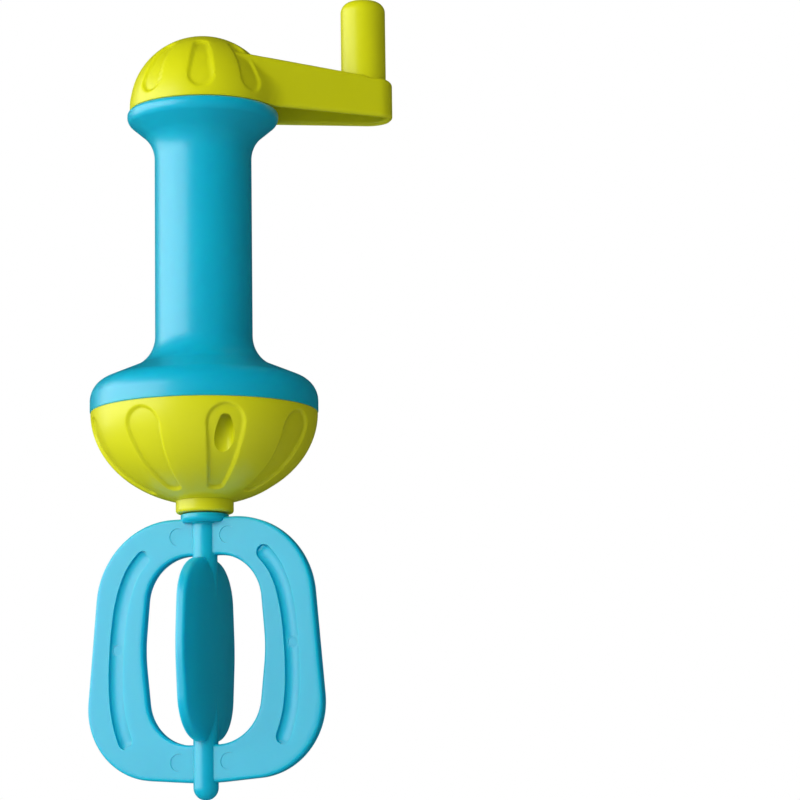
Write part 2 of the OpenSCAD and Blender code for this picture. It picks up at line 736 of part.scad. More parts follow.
module beater_clip() {
    color(steel) retaining_clip(spindle_r, beater_clip_z);
}

module neck_washer() {
    color(nylon) tube(spindle_bush_r - air_gap, spindle_r + fixed_fit, flange_z, flange_z + washer_t);
}

handle_shell();
top_plate();
upper_bush();
bowl_shell();
lower_bush();
ring_gear();
gearbox_plate();
gearbox_screws();
crank_handle();
top_washer();
drive_shaft();
shaft_clip();
planet_carrier();
middle_bush();
planet_pins();
carrier_plate();
carrier_screws();
planet_gear_1();
planet_gear_2();
planet_gear_3();
beater();
beater_shaft();
sun_gear();
beater_clip();
neck_washer();
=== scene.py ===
"""Looks of the hand-cranked egg beater: smooth moulded shells, plastics, metals, light and camera.

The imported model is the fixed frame. The four outer mouldings are worked out here as surfaces and
stand for their CAD nodes; every other node keeps its CAD shape and gets a finish. Sizes in the
classes are in millimetres, levels along the spin axis come from the frame, and every mesh is
written in metres.
"""

import json
import logging
import math
from dataclasses import dataclass
from enum import Enum
from typing import Callable, Sequence

import bmesh
import bpy
import numpy as np
from mathutils import Matrix, Vector


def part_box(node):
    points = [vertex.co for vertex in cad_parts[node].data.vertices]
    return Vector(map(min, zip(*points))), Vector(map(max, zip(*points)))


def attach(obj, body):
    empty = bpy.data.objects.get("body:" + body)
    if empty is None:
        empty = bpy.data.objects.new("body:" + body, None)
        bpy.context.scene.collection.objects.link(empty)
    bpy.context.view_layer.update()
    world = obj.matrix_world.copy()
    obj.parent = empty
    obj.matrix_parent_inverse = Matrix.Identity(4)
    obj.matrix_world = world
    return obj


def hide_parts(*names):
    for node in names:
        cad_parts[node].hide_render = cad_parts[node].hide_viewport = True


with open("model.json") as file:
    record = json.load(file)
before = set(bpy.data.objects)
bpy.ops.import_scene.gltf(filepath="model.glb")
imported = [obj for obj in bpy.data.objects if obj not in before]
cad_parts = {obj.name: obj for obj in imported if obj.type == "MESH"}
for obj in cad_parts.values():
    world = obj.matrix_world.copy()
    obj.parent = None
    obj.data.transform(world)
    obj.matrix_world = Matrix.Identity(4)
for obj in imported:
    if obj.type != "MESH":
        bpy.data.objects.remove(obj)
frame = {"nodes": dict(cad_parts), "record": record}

Array = np.ndarray

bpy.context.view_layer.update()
MM = 0.001                      # metres in a millimetre
MERGE = 2e-6                    # metres within which two points are one
SOFT = 36.0                     # degrees past which an edge is a crease on turned pieces
CLOUD, SMEAR = 34.0, 170.0      # noise scales of a finish's drift in colour and of its wear
log = logging.getLogger("egg_beater")


# --------------------------------------------------------------------------- frame and curves


def low_of(node: str) -> Array:
    """Lowest corner of a CAD node, in millimetres."""
    return np.array(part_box(node)[0]) / MM


def high_of(node: str) -> Array:
    """Highest corner of a CAD node, in millimetres."""
    return np.array(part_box(node)[1]) / MM


def ease(start: float, end: float, x: Array) -> Array:
    """Cubic step: 0 at start, 1 at end, 3t^2 - 2t^3 between, and flat outside."""
    t = np.clip((x - start) / (end - start), 0.0, 1.0)
    return t * t * (3.0 - 2.0 * t)


def arc(centre: Sequence[float], radius: float, start: float, end: float, count: int = 7) -> Array:
    """Circular arc: centre + radius (cos a, sin a), for a from start to end.

    Args:
        centre: the arc's centre.
        radius: its radius.
        start: first angle, in degrees.
        end: last angle, in degrees.
        count: how many points.

    Returns:
        (count, 2) points.
    """
    a = np.radians(np.linspace(start, end, count))
    return np.column_stack([centre[0] + radius * np.cos(a), centre[1] + radius * np.sin(a)])


def rounded(corners: Sequence[Sequence[float]], radii: Sequence[float]) -> Array:
    """Closed outline whose corners are arcs that touch both of their sides.

    A corner of half-angle h and radius r has its arc's centre r / sin h along the bisector, and the
    arc starts r / tan h along each side.

    Args:
        corners: the corners in order.
        radii: radius of each corner.

    Returns:
        Dense points in the same order.
    """
    corner = np.array(corners, float)
    pieces = []
    for i, radius in enumerate(radii):
        back = corner[i - 1] - corner[i]
        ahead = corner[(i + 1) % len(corner)] - corner[i]
        back, ahead = back / np.linalg.norm(back), ahead / np.linalg.norm(ahead)
        half = math.acos(float(np.clip(back @ ahead, -1, 1))) / 2
        centre = corner[i] + (back + ahead) / np.linalg.norm(back + ahead) * radius / math.sin(half)
        first = corner[i] + back * radius / math.tan(half) - centre
        last = corner[i] + ahead * radius / math.tan(half) - centre
        start = math.degrees(math.atan2(first[1], first[0]))
        turn = math.degrees(math.atan2(first[0] * last[1] - first[1] * last[0], float(first @ last)))
        pieces.append(arc(centre, radius, start, start + turn, 40))
    return np.vstack(pieces)


def radius_at(outline: Array, centre: Array, angle: Array) -> Array:
    """Distance from centre to a closed outline along each angle, by interpolation round it.

    Args:
        outline: (n, 2) points of an outline that each ray meets once.
        centre: a point inside it.
        angle: angles in radians.

    Returns:
        The distances.
    """
    step = np.linspace(0, 1, 40, endpoint=False)[None, :, None]
    dense = (outline[:, None] * (1 - step) + np.roll(outline, -1, axis=0)[:, None] * step).reshape(-1, 2)
    spoke = dense - centre
    turn = np.mod(np.arctan2(spoke[:, 1], spoke[:, 0]), 2 * np.pi)
    order = np.argsort(turn)
    return np.interp(np.mod(angle, 2 * np.pi), turn[order], np.hypot(*spoke[order].T), period=2 * np.pi)


def flare(r0: float, z0: float, r1: float, hollow: float, crown: float, lean: float, side: int) -> Array:
    """S-shaped flare from (r0, z0) out to radius r1: a hollow arc, a straight lean and a crown arc.

    Args:
        r0: first radius, where the curve is upright.
        z0: first height.
        r1: last radius, where the curve is upright again.
        hollow: radius of the first arc.
        crown: radius of the last arc.
        lean: steepest angle from upright, in degrees.
        side: 1 to go up, -1 to go down.

    Returns:
        (n, 2) points of radius and height.
    """
    t = np.radians(np.linspace(0, lean, 20))
    run = r1 - r0 - (hollow + crown) * (1 - math.cos(t[-1]))
    height = (hollow + crown) * math.sin(t[-1]) + run / math.tan(t[-1])
    first = np.column_stack([r0 + hollow * (1 - np.cos(t)), z0 + side * hollow * np.sin(t)])
    back = t[::-1]
    last = np.column_stack([r1 - crown * (1 - np.cos(back)), z0 + side * (height - crown * np.sin(back))])
    middle = first[-1] + np.linspace(0, 1, 8)[1:-1, None] * (last[0] - first[-1])
    return np.vstack([first, middle, last])


# --------------------------------------------------------------------------- surfaces and meshes


def grid_faces(rows: int, columns: int, close_rows: bool, close_columns: bool) -> Array:
    """Quads of a grid of points stored row by row.

    Args:
        rows: points down the grid.
        columns: points across it.
        close_rows: whether the last row joins the first.
        close_columns: whether the last column joins the first.

    Returns:
        (n, 4) vertex numbers.
    """
    i = np.arange(rows if close_rows else rows - 1)[:, None]
    j = np.arange(columns if close_columns else columns - 1)[None, :]
    below, right = (i + 1) % rows, (j + 1) % columns
    quads = [i * columns + j, i * columns + right, below * columns + right, below * columns + j]
    return np.stack(quads, -1).reshape(-1, 4)


def crease(mesh: bpy.types.Mesh, angle: float) -> None:
    """Shades a mesh smooth, apart from edges that bend more than angle degrees."""
    mesh.shade_smooth()
    mesh.set_sharp_from_angle(angle=math.radians(angle))


def put(name: str, data: bpy.types.ID) -> bpy.types.Object:
    """New object that shows a mesh, light or camera, linked to the scene at the origin."""
    made = bpy.data.objects.new(name, data)
    bpy.context.scene.collection.objects.link(made)
    return made


def make_piece(name: str, points: Array, faces: Array, angle: float = SOFT) -> bpy.types.Object:
    """Mesh object from points in millimetres, doubles merged and faces turned outwards.

    Args:
        name: the piece's name.
        points: (n, 3) points.
        faces: (m, 4) vertex numbers.
        angle: edges that bend more than this many degrees are creases.

    Returns:
        The linked object, at the origin.
    """
    mesh = bpy.data.meshes.new(name)
    mesh.from_pydata((points * MM).tolist(), [], faces.tolist())
    work = bmesh.new()
    work.from_mesh(mesh)
    bmesh.ops.remove_doubles(work, verts=work.verts, dist=MERGE)
    bmesh.ops.dissolve_degenerate(work, edges=work.edges, dist=MERGE / 20)
    bmesh.ops.recalc_face_normals(work, faces=work.faces)
    work.to_mesh(mesh)
    work.free()
    crease(mesh, angle)
    return put(name, mesh)


def lathe(name: str, profile: Array, steps: int = 96, closed: bool = False,
          centre: Sequence[float] = (0, 0)) -> bpy.types.Object:
    """Surface of revolution: (r, z) becomes (r cos t, r sin t, z) for each angle t, about an upright axis.

    Args:
        name: the piece's name.
        profile: (n, 2) points of radius and height.
        steps: angles round the axis.
        closed: whether the profile is a loop; otherwise its ends lie on the axis.
        centre: where the axis stands.

    Returns:
        The piece.
    """
    t = np.linspace(0, 2 * np.pi, steps, endpoint=False)
    r, z = profile[:, :1], profile[:, 1:]
    points = np.stack(
        [centre[0] + r * np.cos(t), centre[1] + r * np.sin(t), z + 0 * t], axis=-1).reshape(-1, 3)
    return make_piece(name, points, grid_faces(len(profile), steps, closed, True))


class Solid(Enum):
    """How one closed mesh is combined with another."""

    JOIN = "UNION"
    CUT = "DIFFERENCE"
    KEEP = "INTERSECT"


def combine(piece: bpy.types.Object, tool: bpy.types.Object, how: Solid, angle: float) -> None:
    """Joins tool to piece, cuts it away or keeps what they share, as solids, and removes tool.

    Args:
        piece: the closed mesh that stays.
        tool: the closed mesh that is used up.
        how: join, cut or keep what is shared.
        angle: crease angle of the result, in degrees.
    """
    boolean = piece.modifiers.new("solid", "BOOLEAN")
    boolean.operation = how.value
    boolean.object = tool
    boolean.solver = "MANIFOLD"
    result = bpy.data.meshes.new_from_object(piece.evaluated_get(bpy.context.evaluated_depsgraph_get()))
    piece.modifiers.remove(boolean)
    old, piece.data = piece.data, result
    name = old.name
    bpy.data.meshes.remove(old)
    result.name = name
    crease(result, angle)
    used = tool.data
    bpy.data.objects.remove(tool)
    bpy.data.meshes.remove(used)


def groove_gap(along: Array, across: Array, half: Callable[[Array], Array], low: float, high: float) -> Array:
    """Signed distance to the edge of a long round-ended groove, negative inside it.

    Between the centres of its two round ends it is |across| - half(along); past them it is the
    distance to that centre less its radius.

    Args:
        along: distance along the groove.
        across: distance from its centre line.
        half: half-width as a function of the distance along it.
        low: where the groove starts.
        high: where it ends.

    Returns:
        The distances.
    """
    first, last = low, high
    for _ in range(6):
        first, last = low + half(np.array(first)), high - half(np.array(last))
    gap = np.abs(across) - half(along)
    gap = np.where(along < first, np.hypot(along - first, across) - half(np.array(first)), gap)
    return np.where(along > last, np.hypot(along - last, across) - half(np.array(last)), gap)


@dataclass(frozen=True)
class Flutes:
    """Evenly spaced shallow flutes round a turned shell.

    Attributes:
        first: direction of the first flute, in degrees.
        count: how many there are.
        low: where a flute starts, along the shell's section, in millimetres.
        high: where it ends.
        wide: half-width at its start, in degrees round the axis.
        narrow: half-width at its end, in degrees.
        depth: depth of its floor.
        edge: width of its soft edge.
    """

    first: float
    count: int
    low: float
    high: float
    wide: float
    narrow: float
    depth: float
    edge: float

    def carve(self, along: Array, angle: Array, radius: Callable[[Array], Array]) -> Array:
        """Depth of the flutes at points of the shell.

        Args:
            along: distance along the section.
            angle: direction round the axis, in radians.
            radius: the shell's radius as a function of along.

        Returns:
            The depths, easing from 0 to the full depth over the soft edge.
        """
        pitch = 2 * np.pi / self.count
        offset = np.mod(angle - math.radians(self.first) + pitch / 2, pitch) - pitch / 2
        def half(s: Array) -> Array:
            """Half-width in millimetres: the radius times an angle that changes evenly."""
            share = np.clip((s - self.low) / (self.high - self.low), 0, 1)
            return radius(s) * np.radians(self.wide + (self.narrow - self.wide) * share)
        gap = groove_gap(along, radius(along) * offset, half, self.low, self.high)
        return self.depth * ease(self.edge / 2, -self.edge / 2, gap)


# --------------------------------------------------------------------------- finishes


class Link:
    """A node's output that takes part in arithmetic; each operator adds one Math node."""

    def __init__(self, graph: "Graph", socket: bpy.types.NodeSocket) -> None:
        """Wraps a socket of a graph."""
        self.graph = graph
        self.socket = socket

    def _math(self, operation: str, *values: "Link | float") -> "Link":
        """Adds one Math node and returns its result."""
        return self.graph.node("ShaderNodeMath", {"operation": operation}, dict(enumerate(values)))

    def __add__(self, other: "Link | float") -> "Link":
        """Sum."""
        return self._math("ADD", self, other)

    __radd__ = __add__

    def __mul__(self, other: "Link | float") -> "Link":
        """Product."""
        return self._math("MULTIPLY", self, other)

    __rmul__ = __mul__

    def __sub__(self, other: "Link | float") -> "Link":
        """Difference."""
        return self._math("SUBTRACT", self, other)

    def __rsub__(self, other: "Link | float") -> "Link":
        """Difference, the other way round."""
        return self._math("SUBTRACT", other, self)


class Graph:
    """The node tree of one material or world."""

    def __init__(self, tree: bpy.types.NodeTree) -> None:
        """Takes over a tree and empties it."""
        self.tree = tree
        self.tree.nodes.clear()

    def node(self, kind: str, settings: dict | None = None, inputs: dict | None = None,
             output: int | str = 0) -> Link:
        """Adds a node.

        Args:
            kind: the node's type name.
            settings: attributes, set first.
            inputs: value or Link for each input, by name or number.
            output: which output to return.

        Returns:
            The chosen output, or the last input of a node that has none.
        """
        made = self.tree.nodes.new(kind)
        for key, value in (settings or {}).items():
            setattr(made, key, value)
        for key, value in (inputs or {}).items():
            if isinstance(value, Link):
                self.tree.links.new(value.socket, made.inputs[key])
            else:
                made.inputs[key].default_value = value
        return Link(self, made.outputs[output] if made.outputs else made.inputs[0])

    def noise(self, place: Link, scale: float, detail: float) -> Link:
        """Noise of a scale and detail at a place, from 0 to 1."""
        return self.node("ShaderNodeTexNoise", inputs={"Vector": place, "Scale": scale, "Detail": detail})

    def blend(self, factor: Link, first: Sequence[float], second: Sequence[float]) -> Link:
        """Colour that goes from first to second with the factor."""
        inputs = {"Factor": factor, 6: (*first, 1), 7: (*second, 1)}
        return self.node("ShaderNodeMix", {"data_type": "RGBA"}, inputs, 2)


class Grain(Enum):
    """How a surface was finished, as the scale of its finest relief."""

    MOULDED = 1100.0
    TURNED = 2400.0
    SINTERED = 3200.0


@dataclass(frozen=True)
class Finish:
    """One material: a base colour that drifts a little, with roughness and relief from noise.

    Attributes:
        slot: the record's material slot, and the material's name.
        colour: linear base colour.
        rough: mean roughness.
        grain: which fine relief.
        relief: height of that relief, in millimetres.
        drift: share by which the colour drifts.
        metal: metallic share.
        coat: weight of a clear gloss over the surface.
        glow: share of the light that scatters inside, as in a milky plastic.
        spread: how far red, green and blue light scatter inside, in millimetres.
    """

    slot: str
    colour: tuple[float, float, float]
    rough: float
    grain: Grain
    relief: float
    drift: float = 0.04
    metal: float = 0.0
    coat: float = 0.0
    glow: float = 0.0
    spread: tuple[float, float, float] = (1.0, 1.0, 1.0)

    def build(self) -> bpy.types.Material:
        """Makes the material, on Object coordinates so that its pattern holds still on the piece.

        Returns:
            The material, named as its slot.
        """
        material = bpy.data.materials.new(self.slot)
        material.use_nodes = True
        graph = Graph(material.node_tree)
        place = graph.node("ShaderNodeTexCoord", output="Object")
        cloud, smear = graph.noise(place, CLOUD, 2.0), graph.noise(place, SMEAR, 4.0)
        fine = graph.noise(place, self.grain.value, 3.0)
        dark = tuple(channel * (1 - self.drift) for channel in self.colour)
        light = tuple(min(1.0, channel * (1 + self.drift)) for channel in self.colour)
        base = graph.blend(cloud, dark, light)
        rough = (smear - 0.5) * 0.12 + (fine - 0.5) * 0.06 + self.rough
        bump = graph.node("ShaderNodeBump", inputs={
            "Strength": 0.5, "Distance": self.relief * MM, "Height": fine * 0.75 + smear * 0.25})
        shader = graph.node("ShaderNodeBsdfPrincipled", inputs={
            "Base Color": base, "Roughness": rough, "Metallic": self.metal, "IOR": 1.49,
            "Coat Weight": self.coat, "Coat Roughness": 0.32, "Subsurface Weight": self.glow,
            "Subsurface Radius": self.spread, "Subsurface Scale": MM, "Normal": bump})
        graph.node("ShaderNodeOutputMaterial", inputs={"Surface": shader})
        return material


FINISHES = {
    finish.slot: finish for finish in (
        Finish("blue_plastic", (0.001, 0.44, 0.61), 0.42, Grain.MOULDED, 0.03, drift=0.03, coat=1.0,
               glow=0.9, spread=(0.5, 3.0, 4.0)),
        Finish("lime_plastic", (0.64, 0.66, 0.004), 0.42, Grain.MOULDED, 0.03, drift=0.03, coat=0.4,
               glow=0.7, spread=(2.5, 2.5, 0.4)),
        Finish("white_nylon", (0.78, 0.77, 0.70), 0.46, Grain.MOULDED, 0.05),
        Finish("grey_acetal", (0.055, 0.06, 0.066), 0.4, Grain.MOULDED, 0.04, drift=0.1),
        Finish("steel", (0.62, 0.63, 0.65), 0.26, Grain.TURNED, 0.02, drift=0.06, metal=1.0),
        Finish("bronze", (0.52, 0.31, 0.13), 0.42, Grain.SINTERED, 0.06, drift=0.12, metal=1.0),
    )
}


class Finisher:
    """Makes each material once and puts it on pieces and nodes."""

    def __init__(self) -> None:
        """Starts with nothing made."""
        self.made: dict[str, bpy.types.Material] = {}

    def material(self, slot: str) -> bpy.types.Material:
        """The material of a slot, made when it is first asked for.

        Args:
            slot: the record's material slot.

        Returns:
            The material.
        """
        if slot not in self.made:
            self.made[slot] = FINISHES[slot].build()
        return self.made[slot]

    def dress(self, piece: bpy.types.Object, slot: str) -> None:
        """Gives a new piece the material of its slot in the record.

        Args:
            piece: the new piece.
            slot: the record's material slot.
        """
        piece.data.materials.clear()
        piece.data.materials.append(self.material(slot))

    def dress_node(self, node: str, slot: str) -> None:
        """Gives a CAD node its material."""
        for place in frame["nodes"][node].material_slots:
            place.material = self.material(slot)


# --------------------------------------------------------------------------- mouldings


@dataclass(frozen=True)
class Handle:
    """The waisted tube with a lip under the crank and a wide rim over the bowl."""

    grip_r: float = 16.1
    grip_half: float = 29.8
    lip_r: float = 25.15
    lip_curves: tuple[float, float, float] = (11.0, 3.5, 50.0)
    rim_r: float = 37.6
    rim_curves: tuple[float, float, float] = (11.5, 8.0, 67.0)
    wall: float = 2.4
    lip_edge: float = 1.6
    seam_edge: float = 0.35

    def section(self, inset: float) -> Array:
        """The wall's section from lip to rim: the upper flare, the tube and the lower flare.

        Args:
            inset: how far inside the outer surface it runs.

        Returns:
            (n, 2) points of radius and height, downwards.
        """
        r, ends = self.grip_r - inset, []
        for side, reach, curves in ((1, self.lip_r, self.lip_curves), (-1, self.rim_r, self.rim_curves)):
            hollow, crown, lean = curves[0] + inset, curves[1] - inset, curves[2]
            ends.append(flare(r, side * self.grip_half, reach - inset, hollow, crown, lean, side))
        tube = np.column_stack([np.full(10, r), np.linspace(self.grip_half, -self.grip_half, 12)[1:-1]])
        return np.vstack([ends[0][::-1], tube, ends[1]])

    def build(self, finisher: Finisher) -> bpy.types.Object:
        """Turns the closed section, with soft edges at lip and seam, and dresses it.

        Args:
            finisher: gives the piece its material.

        Returns:
            The handle.
        """
        top, seam = high_of("handle_shell")[2], low_of("handle_shell")[2]
        e, s = self.lip_edge, self.seam_edge
        profile = np.vstack([
            [[self.lip_r - self.wall, top]],
            arc((self.lip_r - e, top - e), e, 90, 0, 10),
            self.section(0.0),
            arc((self.rim_r - s, seam + s), s, 0, -90),
            [[self.rim_r - self.wall, seam]],
            self.section(self.wall)[::-1]])
        piece = lathe("handle_moulding", profile, 288, closed=True)
        finisher.dress(piece, "blue_plastic")
        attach(piece, "housing")
        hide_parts("handle_shell")
        return piece


@dataclass(frozen=True)
class Bowl:
    """The fluted bowl with its neck collar, spigot, bush seat and blind drain pocket."""

    bowl_r: float = 37.4
    depth: float = 30.3
    wall: float = 2.2
    collar_r: float = 9.5
    collar_edge: float = 0.9
    spigot_r: float = 35.1
    spigot_wall: float = 1.8
    ledge: float = 6.0
    seam_edge: float = 0.3
    bush_gap: float = 0.4
    bush_flange: float = 1.4
    seat_gap: float = 0.02
    flutes: Flutes = Flutes(-55.0, 8, 2.4, 36.5, 10.4, 7.6, 0.95, 1.1)
    drain_angle: float = -55.0
    drain_w: float = 6.3
    drain_drop: float = 5.0
    drain_wall: float = 1.6
    drain_edge: float = 1.2
    steps: int = 512
    crease: float = 40.0

    def arc_at(self, radius: float, depth: float, end: float, count: int) -> Array:
        """Elliptic section (radius cos t, -depth sin t) from its rim down to the radius end.

        Args:
            radius: half-width of the ellipse.
            depth: its depth.
            end: radius where it stops.
            count: how many points.

        Returns:
            (count, 2) points, with heights from the seam.
        """
        t = np.linspace(0, math.acos(end / radius), count)
        return np.column_stack([radius * np.cos(t), -depth * np.sin(t)])

    def build(self, finisher: Finisher) -> bpy.types.Object:
        """Turns the closed section with flutes sunk into its outside, and adds the drain pocket.

        A bar in the wall's thickness closes the pocket's back before the pocket is cut into it.

        Args:
            finisher: gives the piece its material.

        Returns:
            The bowl.
        """
        seam, neck = low_of("handle_shell")[2], low_of("bowl_shell")[2]
        bush_r = high_of("neck_washer")[0] + self.bush_gap
        bush_top = high_of("lower_bush")[2] - self.bush_flange
        seat_r = bush_r + self.seat_gap
        boss_r = bush_r + self.wall
        shell = self.arc_at(self.bowl_r, self.depth, self.collar_r, 130) + [0, seam]
        shell = shell[shell[:, 1] < seam - self.seam_edge]
        inner = self.arc_at(self.bowl_r - self.wall, self.depth - self.wall, boss_r, 50) + [0, seam]
        inner = inner[(inner[:, 1] < seam - self.ledge) & (inner[:, 1] > neck + self.wall + 1)]
        s, e = self.seam_edge, self.collar_edge
        spigot_in, spigot_top = self.spigot_r - self.spigot_wall, high_of("bowl_shell")[2]
        parts = [
            arc((shell[0, 0] - s, seam - s), s, 90, 8, 4),
            shell,
            [[self.collar_r, shell[-1, 1] - 0.4], [self.collar_r, shell[-1, 1] - 1.4]],
            arc((self.collar_r - e, neck + e), e, 0, -90),
            [[seat_r, neck], [seat_r, bush_top], [boss_r, bush_top]],
            inner[::-1],
            [[spigot_in, seam - self.ledge], [spigot_in, spigot_top], [self.spigot_r, spigot_top],
             [self.spigot_r, seam]]]
        profile = np.vstack(parts)
        first = len(parts[0])
        rows = np.arange(first, first + len(shell))
        along = np.concatenate([[0.0], np.cumsum(np.linalg.norm(np.diff(shell, axis=0), axis=1))])
        along += self.seam_edge
        tangent = np.gradient(shell, axis=0)
        inward = np.column_stack([tangent[:, 1], -tangent[:, 0]])
        inward /= np.linalg.norm(inward, axis=1, keepdims=True)
        angle = np.linspace(0, 2 * np.pi, self.steps, endpoint=False)
        depth = self.flutes.carve(
            along[:, None], angle[None, :], lambda s: np.interp(s, along, shell[:, 0]))
        r = np.repeat(profile[:, :1], self.steps, axis=1)
        z = np.repeat(profile[:, 1:], self.steps, axis=1)
        r[rows] += depth * inward[:, :1]
        z[rows] += depth * inward[:, 1:]
        points = np.stack([r * np.cos(angle), r * np.sin(angle), z], axis=-1).reshape(-1, 3)
        faces = grid_faces(len(profile), self.steps, True, True)
        piece = make_piece("bowl_moulding", points, faces, self.crease)
        backing = self.drain_tool(seam, self.drain_wall)
        core = self.arc_at(self.bowl_r - self.wall / 2, self.depth - self.wall / 2, 0.0, 60) + [0, seam]
        combine(backing, lathe("core_tool", np.vstack([[[0, seam]], core]), 256), Solid.KEEP, self.crease)
        combine(piece, backing, Solid.JOIN, self.crease)
        combine(piece, self.drain_tool(seam, 0.0), Solid.CUT, self.crease)
        finisher.dress(piece, "lime_plastic")
        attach(piece, "housing")
        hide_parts("bowl_shell")
        return piece

    def drain_tool(self, seam: float, grow: float) -> bpy.types.Object:
        """Upright round bar, as the mould draws: the slanting wall turns what it cuts into a teardrop.

        Its outer side meets the flute's floor at the drain's top, and it runs down past the bowl.

        Args:
            seam: height of the seam.
            grow: how far its surface lies outside the pocket's own.

        Returns:
            The closed bar.
        """
        reach = self.bowl_r * math.sqrt(1 - (self.drain_drop / self.depth) ** 2) - self.flutes.depth
        out, r, e = reach - self.drain_w / 2, self.drain_w / 2 + grow, self.drain_edge
        turn = math.radians(self.drain_angle)
        spot = (out * math.cos(turn), out * math.sin(turn))
        low, high = seam - self.depth, seam - self.drain_drop + grow
        section = np.vstack([[[0, low], [r, low]], arc((r - e, high - e), e, 0, 90, 8), [[0, high]]])
        return lathe("drain_tool", section, 96, centre=spot)


@dataclass(frozen=True)
class Crank:
    """The fluted dome, the tapering arm that is open below, and the upright knob."""

    angle: float = 36.7
    dome_r: float = 24.35
    dome_rise: float = 0.65
    wall: float = 2.2
    reach: float = 65.3
    throw: float = 55.8
    end_half: float = 6.9
    corner_r: float = 6.0
    top_edge: float = 1.6
    root_h: float = 15.9
    end_h: float = 12.8
    blend: float = 4.5
    foot: tuple[float, float] = (0.25, 1.1)
    drop: float = 0.34
    knob_r: float = 7.55
    knob_edge: float = 3.7
    core_edge: float = 1.0
    groove_w: float = 0.6
    groove_depth: float = 0.4
    lift: float = 0.4
    seat_gap: float = 0.02
    seat_end_gap: float = 0.4
    clear: float = 8.0
    ray: float = 34.0
    halvings: int = 34
    crease: float = 42.0
    flutes: Flutes = Flutes(-68.0, 8, 2.3, 23.3, 10.6, 7.4, 0.9, 1.1)

    @property
    def start(self) -> float:
        """Where the arm's walls start inside the dome."""
        return self.dome_r / 4

    @property
    def root_half(self) -> float:
        """Half-width of the arm there, which puts its upper edges just inside the dome."""
        rise = self.arm_top(self.start) - self.dome_rise
        return math.sqrt((self.dome_r - 0.1) ** 2 - rise ** 2 - self.start ** 2)

    def arm_top(self, x: Array | float) -> Array | float:
        """Height of the arm's top, falling evenly from the dome to the end."""
        return self.root_h - (self.root_h - self.end_h) * (x - self.dome_r) / (self.reach - self.dome_r)

    def foot_at(self, x: Array) -> Array:
        """Radius of the lower edge: small under the dome and larger along the arm."""
        return self.foot[0] + (self.foot[1] - self.foot[0]) * ease(self.dome_r - 4, self.dome_r + 3, x)

    def gap(self, p: Array, inset: float) -> Array:
        """Signed distance to the crank's surface, negative inside.

        The dome is the distance to its short upright core less R and its flutes. The arm is where
        its side, end and top planes meet: in plan its corners are rounded by r with
        length(max(q + r, 0)) - r, and that meets the top the same way. The two are blended by
        min(a, b) - h^2 k / 4, with h = max(k - |a - b|, 0) / k and a k that dies out upwards.

        Args:
            p: (..., 3) points from the dome's centre, with the arm along X.
            inset: how far inside the outer surface the wanted surface runs.

        Returns:
            The distances.
        """
        x, y, z = p[..., 0], p[..., 1], p[..., 2]
        up = z - np.clip(z, 0, self.dome_rise)
        size = np.sqrt(x * x + y * y + up * up)
        dome = size - self.dome_r + inset
        if inset == 0:
            latitude = np.arcsin(np.clip(up / np.maximum(size, 1e-9), -1, 1))
            turn = np.arctan2(y, x) + math.radians(self.angle)
            dome = dome + self.flutes.carve(
                self.dome_r * latitude, turn,
                lambda s: self.dome_r * np.cos(np.clip(s / self.dome_r, 0, 1.5)))
        slope = (self.root_half - self.end_half) / (self.reach - self.start)
        side = (np.abs(y) - self.root_half + slope * (x - self.start)) / math.hypot(1, slope) + inset
        end = x - self.reach + inset
        fall = (self.root_h - self.end_h) / (self.reach - self.dome_r)
        top = (z - self.arm_top(x)) / math.hypot(1, fall) + inset

        def meet(a: Array, b: Array, r: float) -> Array:
            """Inside both, with an edge of radius r."""
            corner = np.hypot(np.maximum(a + r, 0), np.maximum(b + r, 0))
            return corner + np.minimum(np.maximum(a, b) + r, 0) - r

        arm = meet(meet(side, end, self.corner_r - inset), top, max(self.top_edge - inset, 0.4))
        arm = np.maximum(arm, self.start - x)
        k = 0.4 + (self.blend - 0.4) * ease(14, 5, z)
        h = np.maximum(k - np.abs(dome - arm), 0) / k
        return np.minimum(dome, arm) - h * h * k / 4

    def shell(self, inset: float, x: Array, level: Array, cosine: Array, sine: Array) -> Array:
        """Points where rays across the arm meet the surface, by halving each ray again and again.

        Each ray starts over the arm's middle line, at its own level, square to that line.

        Args:
            inset: how far inside the outer surface.
            x: (n,) places along the arm.
            level: (n, m) height where each ray starts.
            cosine: (m,) the ray's part across.
            sine: (m,) the ray's upward part.

        Returns:
            (n, m, 3) points.
        """
        low = np.zeros_like(level)
        high = np.full_like(low, self.ray)
        for _ in range(self.halvings):
            middle = (low + high) / 2
            p = np.stack([x[:, None] + 0 * middle, middle * cosine, level + middle * sine], -1)
            inside = self.gap(p, inset) < 0
            low, high = np.where(inside, middle, low), np.where(inside, high, middle)
        return np.stack([x[:, None] + 0 * low, low * cosine, level + low * sine], -1)

    def stations(self, inset: float) -> Array:
        """Places along the arm: close at the dome's far side, even along the arm, close at its end.

        Args:
            inset: how far inside the outer surface the shell runs.

        Returns:
            The places, from the dome's far side to the arm's end.
        """
        r, end = self.dome_r - inset, self.reach - inset
        back = -r * np.cos(np.linspace(0, np.pi / 2, 56))
        middle = np.linspace(0, end - self.corner_r, 132)[1:]
        cap = end - self.corner_r + self.corner_r * np.sin(np.linspace(0, np.pi / 2, 26)[1:])
        return np.concatenate([back, middle, cap[:-1], [end - 1e-4, end]])

